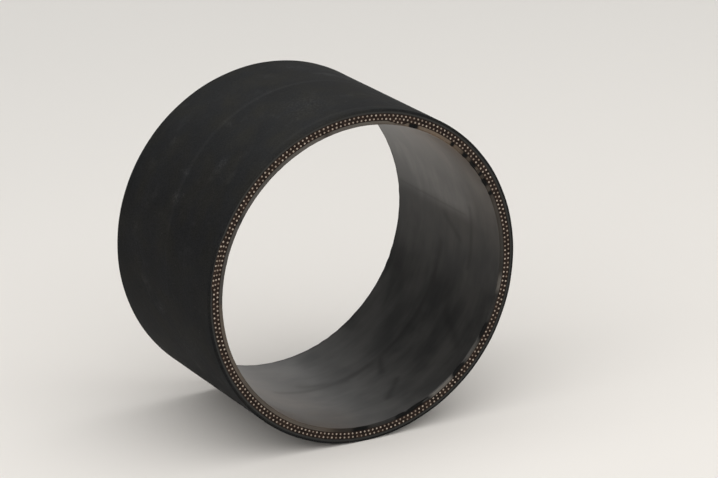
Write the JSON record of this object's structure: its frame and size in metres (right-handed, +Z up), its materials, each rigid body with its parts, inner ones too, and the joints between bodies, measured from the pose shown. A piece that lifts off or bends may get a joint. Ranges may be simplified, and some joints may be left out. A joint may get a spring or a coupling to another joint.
{
  "type": "reinforced rubber coupling sleeve",
  "caption": "Short straight rubber hose sleeve with two cord-fabric plies in its wall, clamped over two pipe ends of one size to join them.",
  "frame": {"origin": "centre of the bore, half way between the two cut ends", "axes": "+Y along the bore from the front cut end (-Y) to the back one, +Z up with the sleeve lying on its side, +X to the right seen from the front"},
  "size_m": [0.084, 0.0508, 0.084],
  "materials": {
    "lining_rubber": "satin",
    "ply_rubber": "matt, brownish black",
    "textile_cord": "matt, undyed tan",
    "cover_rubber": "matt black with fine wrap marks"
  },
  "bodies": {
    "root": {"inner_tube": "lining_rubber", "inner_ply_rubber": "ply_rubber", "inner_ply_cords": "textile_cord", "outer_ply_rubber": "ply_rubber", "outer_ply_cords": "textile_cord", "outer_cover": "cover_rubber"}
  },
  "joints": []
}
